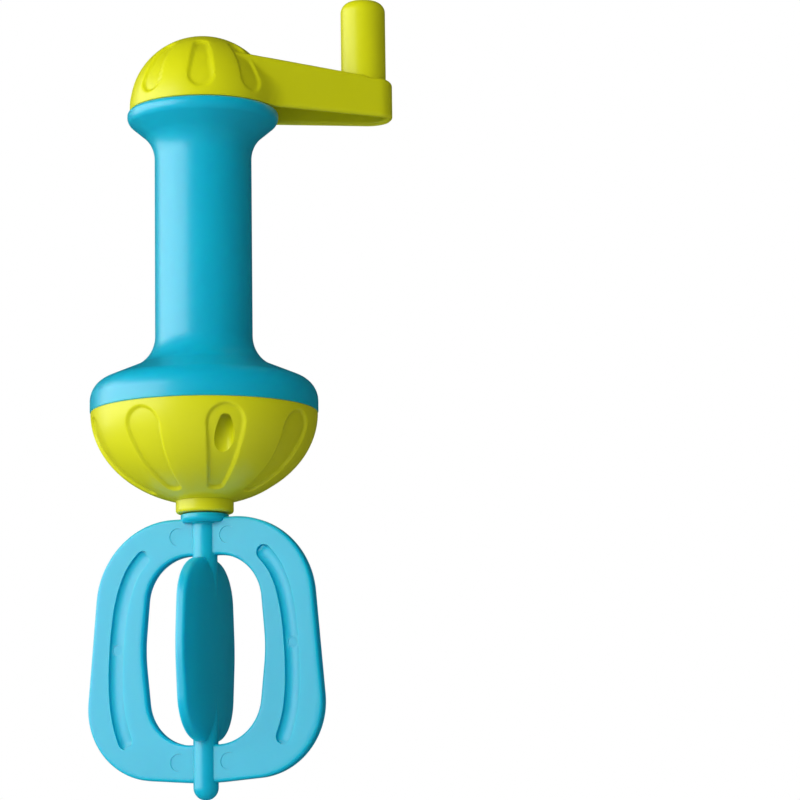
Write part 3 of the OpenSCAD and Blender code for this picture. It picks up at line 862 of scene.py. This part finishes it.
    def build(self, finisher: Finisher) -> bpy.types.Object:
        """Builds the open shell, joins knob and hub, cuts their hollows, and dresses it.

        The shell's two skins meet in a lower edge that is a half circle of the foot's radius.

        Args:
            finisher: gives the piece its material.

        Returns:
            The crank.
        """
        base = high_of("handle_shell")[2] + self.lift
        share = np.array([0.0, 0.1, 0.25, 0.45, 0.7])
        count = len(share)
        sweep = np.radians(np.linspace(0, 180, 104))
        rise = np.concatenate([share, np.ones(len(sweep)), share[::-1]])
        cosine = np.concatenate([np.ones(count), np.cos(sweep), -np.ones(count)])
        sine = np.concatenate([0 * share, np.sin(sweep), 0 * share])
        x = self.stations(0.0)
        foot = self.foot_at(x)[:, None]
        level = foot * rise
        outer = self.shell(0.0, x, level, cosine, sine)
        inner = self.shell(self.wall, self.stations(self.wall), level, cosine, sine)
        for shell in (outer, inner):
            for row in (0, -1):
                shell[row, :, 1] = 0
                shell[row, :, 2] = level[row]
        step = foot * (1 - np.sqrt(1 - (1 - share) ** 2))
        for column, rows in ((0, range(count)), (-1, range(-1, -count - 1, -1))):
            way = inner[:, column] - outer[:, column]
            way /= np.linalg.norm(way, axis=1, keepdims=True)
            for row, inset in zip(rows, step.T):
                outer[:, row] += way * np.minimum(inset, self.wall * 0.45)[:, None]
                inner[:, row] -= way * np.minimum(inset, self.wall * 0.45)[:, None]
        for shell in (outer, inner):
            shell[..., 2] -= self.drop * np.clip(1 - shell[..., 2] / 3, 0, 1)
        loops = np.concatenate([outer, inner[:, ::-1]], axis=1)
        turn = math.radians(self.angle)
        points = loops.reshape(-1, 3) @ np.array(
            [[math.cos(turn), math.sin(turn), 0], [-math.sin(turn), math.cos(turn), 0], [0, 0, 1]])
        points[:, 2] += base
        faces = grid_faces(len(loops), loops.shape[1], False, True)
        piece = make_piece("crank_moulding", points, faces, self.crease)
        self.fit_knob(piece, base)
        self.fit_hub(piece, base)
        finisher.dress(piece, "lime_plastic")
        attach(piece, "crank")
        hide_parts("crank_handle")
        return piece

    def fit_knob(self, piece: bpy.types.Object, base: float) -> None:
        """Joins the knob to the arm in its level groove, and opens its core from below.

        Args:
            piece: the crank's shell.
            base: height of the arm's underside.
        """
        turn = math.radians(self.angle)
        spot = (self.throw * math.cos(turn), self.throw * math.sin(turn))
        top = high_of("crank_handle")[2]
        r, e = self.knob_r, self.knob_edge
        ring = r + self.groove_w
        floor = base + self.arm_top(self.throw + ring) - self.groove_depth
        pocket = np.array([[0, floor], [ring, floor], [ring, floor + self.clear], [0, floor + self.clear]])
        seat = floor + self.groove_depth - self.wall
        knob = np.vstack([
            [[0, seat], [r, seat]], arc((r - e, top - e), e, 0, 90, 16), [[0, top]]])
        core_r, core_top, e = r - self.wall, top - 2 * self.wall, self.core_edge
        core = np.vstack([
            [[0, base - 1], [core_r, base - 1]], arc((core_r - e, core_top - e), e, 0, 90), [[0, core_top]]])
        combine(piece, lathe("pocket_tool", pocket, centre=spot), Solid.CUT, self.crease)
        combine(piece, lathe("knob_tool", knob, 128, centre=spot), Solid.JOIN, self.crease)
        combine(piece, lathe("core_tool", core, centre=spot), Solid.CUT, self.crease)

    def fit_hub(self, piece: bpy.types.Object, base: float) -> None:
        """Joins the hub under the dome and cuts its seat for the drive shaft.

        Args:
            piece: the crank's shell.
            base: height of the arm's underside.
        """
        low, r = high_of("top_washer")[2], high_of("top_washer")[0]
        high = base + math.sqrt((self.dome_r - self.wall) ** 2 - r ** 2) + self.wall / 2
        hub = np.array([[0, low], [r, low], [r, high], [0, high]])
        seat_r, end = high_of("drive_shaft")[1] + self.seat_gap, high_of("drive_shaft")[2] + self.seat_end_gap
        seat = np.array([[0, low - 1], [seat_r, low - 1], [seat_r, end], [0, end]])
        combine(piece, lathe("hub_tool", hub), Solid.JOIN, self.crease)
        combine(piece, lathe("seat_tool", seat), Solid.CUT, self.crease)


@dataclass(frozen=True)
class Beater:
    """The flange, rod, grooved blade and square vane, moulded as one piece."""

    flange_r: float = 7.9
    flange_h: float = 2.8
    rod_r: float = 4.1
    rod_fillet: float = 0.8
    blade_t: float = 4.1
    blade_edge: float = 0.9
    blade_drop: float = 1.2
    blade_h: float = 86.6
    top_w: float = 36.3
    low_w: float = 43.7
    belly: float = 3.3
    bars: tuple[float, float] = (12.3, 12.6)
    window_w: tuple[float, float, float] = (19.2, 21.9, 18.7)
    window_r: tuple[float, float] = (15.5, 60.0)
    vane_t: float = 3.2
    vane_edge: float = 0.8
    vane_inset: float = 0.9
    corner_r: tuple[float, float, float] = (28.0, 24.0, 110.0)
    groove_half: float = 2.6
    groove_depth: float = 1.0
    groove_path: tuple[tuple[float, float], ...] = (
        (21.6, 12.4), (24.6, 15.6), (27.2, 20.4), (29.2, 27.0), (30.5, 35.0), (31.2, 44.0), (31.5, 53.0),
        (31.0, 61.0), (29.9, 67.0), (28.0, 72.2))
    mark_depth: float = 0.25
    mark_r: float = 2.9
    gate_r: float = 1.7
    seat_r: float = 2.52
    seat_gap: float = 0.4
    steps: int = 520
    vane_steps: int = 360
    crease: float = 50.0

    def window(self, inset: float, top: float, low: float) -> Array:
        """Outline of the window, or of the vane where inset is more than 0.

        Args:
            inset: how far inside the window's edge it runs.
            top: height of the window's top.
            low: height of its foot.

        Returns:
            (n, 2) points across and up.
        """
        wide, middle, foot = (w - inset for w in self.window_w)
        high, down = top - inset, low + inset
        centre = (high + down) / 2
        corner, side = self.window_r
        return rounded(
            [[wide, high], [middle, centre], [foot, down], [-foot, down], [-middle, centre], [-wide, high]],
            [corner, side, corner, corner, side, corner])

    def sheet(self, start: Array, end: Array, thickness: float, edge: float, spokes: Array,
              hollow: bool) -> tuple[Array, Array]:
        """Section loops of a flat moulding along spokes: front face, rounded rim and back face.

        Along each spoke the front runs from the inner edge to the outer edge at half the thickness,
        and each edge is a quarter circle. The back is its mirror image.

        Args:
            start: inner radius of each spoke.
            end: outer radius of each spoke.
            thickness: the moulding's thickness.
            edge: radius of its edges.
            spokes: how far along the face each column lies, from 0 to 1.
            hollow: whether there is an inner rim.

        Returns:
            Distance along the spoke and distance off the middle plane, both (n, m).
        """
        half = thickness / 2
        bend = np.radians(np.linspace(0, 90, 6))
        rise = half - edge + edge * np.sin(bend)
        begin = start + (edge if hollow else 0)
        face = begin[:, None] + spokes * (end - edge - begin)[:, None]
        outer = (end - edge)[:, None] + edge * np.cos(bend[::-1])
        radius = [face, outer]
        off = [np.full(len(spokes), half), rise[::-1]]
        if hollow:
            radius.insert(0, start[:, None] + edge - edge * np.cos(bend))
            off.insert(0, rise)
        front = np.hstack(radius)
        level = np.concatenate(off)
        return (np.hstack([front, front[:, ::-1]]),
                np.tile(np.concatenate([level, -level[::-1]]), (len(start), 1)))

    def blade(self, top: float) -> bpy.types.Object:
        """The frame-shaped blade in the XZ plane, with a groove along each side of both faces.

        Args:
            top: height of its top edge.

        Returns:
            The closed blade.
        """
        low = top - self.blade_h
        shoulder, foot, belly = self.corner_r
        hip = low + self.belly
        outline = rounded(
            [[self.top_w, top], [self.low_w, hip], [0, low], [-self.low_w, hip], [-self.top_w, top]],
            [shoulder, foot, belly, foot, shoulder])
        hole = self.window(0, top - self.bars[0], low + self.bars[1])
        centre = np.array([0, (top + low) / 2])
        turn = np.linspace(0, 2 * np.pi, self.steps, endpoint=False)
        start, end = radius_at(hole, centre, turn), radius_at(outline, centre, turn)
        radius, off = self.sheet(start, end, self.blade_t, self.blade_edge, np.linspace(0, 1, 14), True)
        faces = grid_faces(self.steps, off.shape[1], True, True)
        x = radius * np.cos(turn)[:, None]
        z = centre[1] + radius * np.sin(turn)[:, None]
        points = np.stack([x, -off, z], -1).reshape(-1, 3)
        piece = make_piece("beater_moulding", points, faces, self.crease)
        for side in (-1, 1):
            for face in (-1, 1):
                combine(piece, self.groove_tool(top, side, face), Solid.CUT, self.crease)
        return piece

    def groove_tool(self, top: float, side: int, face: int) -> bpy.types.Object:
        """Cutter for one groove: a flat channel w wide each way along a smooth path, round at its ends.

        The path runs through its knots in straight steps that a moving average smooths. Past each of
        its ends the half-width is sqrt(w^2 - t^2) at a distance t.

        Args:
            top: height of the blade's top edge.
            side: 1 for the groove towards +X, -1 for the other.
            face: 1 for the face towards +Y, -1 for the other.

        Returns:
            The closed cutter.
        """
        knots = np.array(self.groove_path) * (1, -1)
        fine = np.linspace(0, len(knots) - 1, 80)
        line = np.column_stack([np.interp(fine, np.arange(len(knots)), knots[:, k]) for k in (0, 1)])
        padded = np.pad(line, ((6, 6), (0, 0)), mode="reflect", reflect_type="odd")
        line = np.column_stack([np.convolve(padded[:, k], np.ones(13) / 13, "valid") for k in (0, 1)])
        step = np.gradient(line, axis=0)
        step /= np.linalg.norm(step, axis=1, keepdims=True)
        w = self.groove_half
        past = w * np.sin(np.linspace(0, np.pi / 2, 12))[1:, None]
        line = np.vstack([line[0] - past[::-1] * step[0], line, line[-1] + past * step[-1]])
        step = np.vstack([np.repeat(step[:1], 11, axis=0), step, np.repeat(step[-1:], 11, axis=0)])
        half = np.concatenate([np.sqrt(w * w - past[::-1, 0] ** 2), np.full(len(line) - 22, w),
                               np.sqrt(w * w - past[:, 0] ** 2)])
        depth = self.groove_depth
        section = np.array([[0.0, -0.5], [0.0, 0.0], [0.08, depth - 0.12], [0.2, depth]])
        across = np.maximum(half[:, None] - section[:, 0], 0)
        across = np.hstack([-across, across[:, ::-1]])
        sunk = np.concatenate([section[:, 1], section[::-1, 1]]) + 0 * across
        x = side * (line[:, :1] - step[:, 1:] * across)
        z = top + line[:, 1:] + step[:, :1] * across
        y = face * (self.blade_t / 2 - sunk)
        points = np.stack([x, y, z], -1).reshape(-1, 3)
        return make_piece("groove_tool", points, grid_faces(len(line), across.shape[1], False, True))

    def vane(self, top: float) -> bpy.types.Object:
        """The solid vane in the YZ plane, a little smaller than the window and thickest in its middle.

        It swells from its edges to the rod's radius by 1 - (y / half-width)^2, and its edge stays thin.

        Args:
            top: height of the blade's top edge.

        Returns:
            The closed vane.
        """
        low = top - self.blade_h
        outline = self.window(self.vane_inset, top - self.bars[0], low + self.bars[1])
        centre = np.array([0, (top - self.bars[0] + low + self.bars[1]) / 2])
        turn = np.linspace(0, 2 * np.pi, self.vane_steps, endpoint=False)
        end = radius_at(outline, centre, turn)
        radius, off = self.sheet(0 * end, end, self.vane_t, self.vane_edge, np.linspace(0, 1, 30), False)
        y = radius * np.cos(turn)[:, None]
        z = centre[1] + radius * np.sin(turn)[:, None]
        wide = self.window_w[1] - self.vane_inset
        swell = (1 - (y / wide) ** 2) * (1 - (radius / end[:, None]) ** 8)
        off = off * (1 + (self.rod_r / (self.vane_t / 2) - 1) * swell)
        points = np.stack([off, y, z], -1).reshape(-1, 3)
        return make_piece("vane_tool", points, grid_faces(self.vane_steps, off.shape[1], True, False))

    def rod(self, top: float, tip: float) -> bpy.types.Object:
        """The flange and rod, turned: a soft-edged flange, a small fillet, the rod and its round tip.

        Args:
            top: height of the flange's top.
            tip: height of the rod's tip.

        Returns:
            The closed rod.
        """
        r, low, f = self.rod_r, top - self.flange_h, self.rod_fillet
        profile = np.vstack([
            [[0, top]], arc((self.flange_r - 0.4, top - 0.4), 0.4, 90, 0),
            arc((self.flange_r - 1.7, low + 1.7), 1.7, 0, -90, 10),
            arc((r + f, low - f), f, 90, 180),
            np.column_stack([np.full(30, r), np.linspace(low - f - 2, tip + r + 0.5, 30)]),
            arc((0, tip + r), r, 0, -90, 20)])
        return lathe("rod_tool", profile)

    def mark_tool(self, x: float, z: float, radius: float, sunk: float) -> bpy.types.Object:
        """Cutter for one faint round ejector mark on the near face: a shallow disc, turned about Y.

        Args:
            x: place of its middle across the blade.
            z: height of its middle.
            radius: its radius.
            sunk: how far the face is sunk there already.

        Returns:
            The closed cutter.
        """
        t = np.linspace(0, 2 * np.pi, 64, endpoint=False)
        foot = self.blade_t / 2 - sunk - self.mark_depth
        head = foot + 2 * self.mark_depth
        section = np.array([[0, foot], [radius - 0.08, foot], [radius, head], [0, head]])
        r, off = section[:, :1], section[:, 1:]
        points = np.stack([x + r * np.cos(t), -off + 0 * t, z + r * np.sin(t)], -1).reshape(-1, 3)
        return make_piece("mark_tool", points, grid_faces(len(section), len(t), False, True))

    def build(self, finisher: Finisher) -> bpy.types.Object:
        """Joins blade, vane and rod, sinks the marks, cuts the shaft's seat, and dresses the piece.

        Each side has a mark near the blade's top, one near its foot and a smaller one in the groove.

        Args:
            finisher: gives the piece its material.

        Returns:
            The beater.
        """
        flange, tip = high_of("beater")[2], low_of("beater")[2]
        top = flange - self.blade_drop
        piece = self.blade(top)
        marks = ((8.9, 5.9, self.mark_r, 0.0), (8.9, 79.6, self.mark_r, 0.0),
                 (31.2, 42.0, self.gate_r, self.groove_depth))
        for side in (-1, 1):
            for x, down, radius, sunk in marks:
                combine(piece, self.mark_tool(side * x, top - down, radius, sunk), Solid.CUT, self.crease)
        combine(piece, self.vane(top), Solid.JOIN, self.crease)
        combine(piece, self.rod(flange, tip), Solid.JOIN, self.crease)
        foot, r = low_of("beater_shaft")[2] - self.seat_gap, self.seat_r
        seat = np.array([[0, foot], [r, foot], [r, flange + 1], [0, flange + 1]])
        combine(piece, lathe("seat_tool", seat, 64), Solid.CUT, self.crease)
        finisher.dress(piece, "blue_plastic")
        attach(piece, "beater")
        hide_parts("beater")
        return piece


@dataclass(frozen=True)
class Works:
    """Bushes, gears, shafts, clips and screws: CAD nodes that keep their shape."""

    hidden: tuple[str, ...] = ("handle_shell", "bowl_shell", "crank_handle", "beater")

    def dress(self, finisher: Finisher) -> list[str]:
        """Gives every node that shows its finish from the record's slot.

        Args:
            finisher: holds the materials.

        Returns:
            The nodes' names.
        """
        slots = {part["node"]: part["material_slot"] for part in frame["record"]["subparts"]}
        shown = [node for node in slots if node not in self.hidden]
        for node in shown:
            finisher.dress_node(node, slots[node])
        return shown


# --------------------------------------------------------------------------- studio


@dataclass(frozen=True)
class Lamp:
    """A soft rectangular light that faces the middle of the beater.

    Attributes:
        name: the light's name.
        azimuth: its direction round the object, from -Y towards +X, in degrees.
        height: its height over the origin, in metres.
        distance: its distance from the spin axis.
        size: its width and height.
        power: its power in watts.
        shine: whether its reflection shows on glossy surfaces.
    """

    name: str
    azimuth: float
    height: float
    distance: float
    size: tuple[float, float]
    power: float
    shine: bool = True

    def build(self) -> None:
        """Stands the light in its place, turned to the object."""
        data = bpy.data.lights.new(self.name, "AREA")
        data.shape = "RECTANGLE"
        data.size, data.size_y = self.size
        data.energy = self.power
        light = put(self.name, data)
        a = math.radians(self.azimuth)
        spot = Vector((self.distance * math.sin(a), -self.distance * math.cos(a), self.height))
        turn = (Vector((0, 0, -0.04)) - spot).to_track_quat("-Z", "Y")
        light.matrix_world = Matrix.Translation(spot) @ turn.to_matrix().to_4x4()
        light.visible_glossy = self.shine


@dataclass(frozen=True)
class Studio:
    """Camera, soft lights, pale floor and world. Angles are in degrees and lengths in metres."""

    azimuth: float = 24.0
    distance: float = 1.122
    eye_z: float = -0.2316
    pitch: float = 9.107
    pan: float = 3.295
    roll: float = -0.8
    lens: float = 154.95
    floor_z: float = -0.245
    floor_half: float = 1.45
    floor_steps: int = 61
    ambient: float = 0.12
    lamps: tuple[Lamp, ...] = (
        Lamp("key", -41, 0.14, 1.15, (1.1, 0.8), 6.8),
        Lamp("side", -84, 0.2, 1.2, (0.8, 0.9), 4.2),
        Lamp("front", 0, 0.5, 1.5, (1.2, 1.2), 18.6, shine=False),
        Lamp("far_right", 159, 0.3, 1.5, (1.0, 1.2), 6.5, shine=False),
        Lamp("far_left", -140, 0.3, 1.5, (0.8, 1.2), 4.0, shine=False),
    )

    def camera(self) -> None:
        """Stands the camera low and to one side, turned a little past the beater, and makes it active."""
        a, p, s = (math.radians(v) for v in (self.azimuth, self.pan, self.pitch))
        eye = Vector((self.distance * math.sin(a), -self.distance * math.cos(a), self.eye_z))
        inward, across = Vector((-math.sin(a), math.cos(a), 0)), Vector((math.cos(a), math.sin(a), 0))
        ahead = inward * math.cos(p) + across * math.sin(p)
        look = ahead * math.cos(s) + Vector((0, 0, math.sin(s)))
        data = bpy.data.cameras.new("camera")
        data.lens = self.lens
        data.sensor_width = 36.0
        data.clip_start = 0.05
        camera = put("camera", data)
        turn = look.to_track_quat("-Z", "Y").to_matrix() @ Matrix.Rotation(math.radians(self.roll), 3, "Z")
        camera.matrix_world = Matrix.Translation(eye) @ turn.to_4x4()
        bpy.context.scene.camera = camera

    def floor(self) -> None:
        """Lays the pale floor, whose corners fall by 0.3 (distance past the flat)^2, kept out of gloss."""
        side = np.linspace(-1, 1, self.floor_steps) * self.floor_half
        x, y = np.meshgrid(side, side)
        z = self.floor_z - 0.3 * np.maximum(np.hypot(x, y) - self.floor_half, 0) ** 2
        faces = grid_faces(self.floor_steps, self.floor_steps, False, False)
        mesh = bpy.data.meshes.new("floor")
        mesh.from_pydata(np.stack([x, y, z], -1).reshape(-1, 3).tolist(), [], faces.tolist())
        mesh.shade_smooth()
        floor = put("floor", mesh)
        material = bpy.data.materials.new("floor_paper")
        material.use_nodes = True
        graph = Graph(material.node_tree)
        fibre = graph.noise(graph.node("ShaderNodeTexCoord", output="Object"), 420.0, 4.0)
        tone = graph.blend(fibre, (0.78, 0.78, 0.77), (0.84, 0.84, 0.83))
        bump = graph.node("ShaderNodeBump", inputs={"Strength": 0.2, "Distance": 0.0004, "Height": fibre})
        rough = (fibre - 0.5) * 0.1 + 0.85
        shader = graph.node("ShaderNodeBsdfPrincipled", inputs={
            "Base Color": tone, "Roughness": rough, "Normal": bump})
        graph.node("ShaderNodeOutputMaterial", inputs={"Surface": shader})
        mesh.materials.append(material)
        floor.visible_glossy = False

    def world(self) -> None:
        """White where the camera looks past the object, a dim even light, and dimmer still in gloss."""
        world = bpy.data.worlds.new("studio")
        bpy.context.scene.world = world
        world.use_nodes = True
        graph = Graph(world.node_tree)
        seen = graph.node("ShaderNodeLightPath", output="Is Camera Ray")
        mirror = graph.node("ShaderNodeLightPath", output="Is Glossy Ray")
        glow = graph.node("ShaderNodeBackground", inputs={
            "Color": (1, 1, 1, 1),
            "Strength": seen * (1 - self.ambient) + (1 - mirror * 0.9) * self.ambient})
        graph.node("ShaderNodeOutputWorld", inputs={"Surface": glow})

    def build(self) -> None:
        """Sets up everything round the object."""
        self.camera()
        for lamp in self.lamps:
            lamp.build()
        self.floor()
        self.world()
        bpy.context.scene.view_settings.view_transform = "Standard"


def main() -> None:
    """Builds the studio and each sub-assembly in order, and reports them."""
    logging.basicConfig(level=logging.INFO, format="%(name)s: %(message)s")
    Studio().build()
    finisher = Finisher()
    pieces = [part.build(finisher) for part in (Handle(), Bowl(), Crank(), Beater())]
    for piece in pieces:
        log.info("%s: %d faces", piece.name, len(piece.data.polygons))
    for node in Works().dress(finisher):
        log.info("%s: finished", node)


if __name__ == "__main__":
    main()
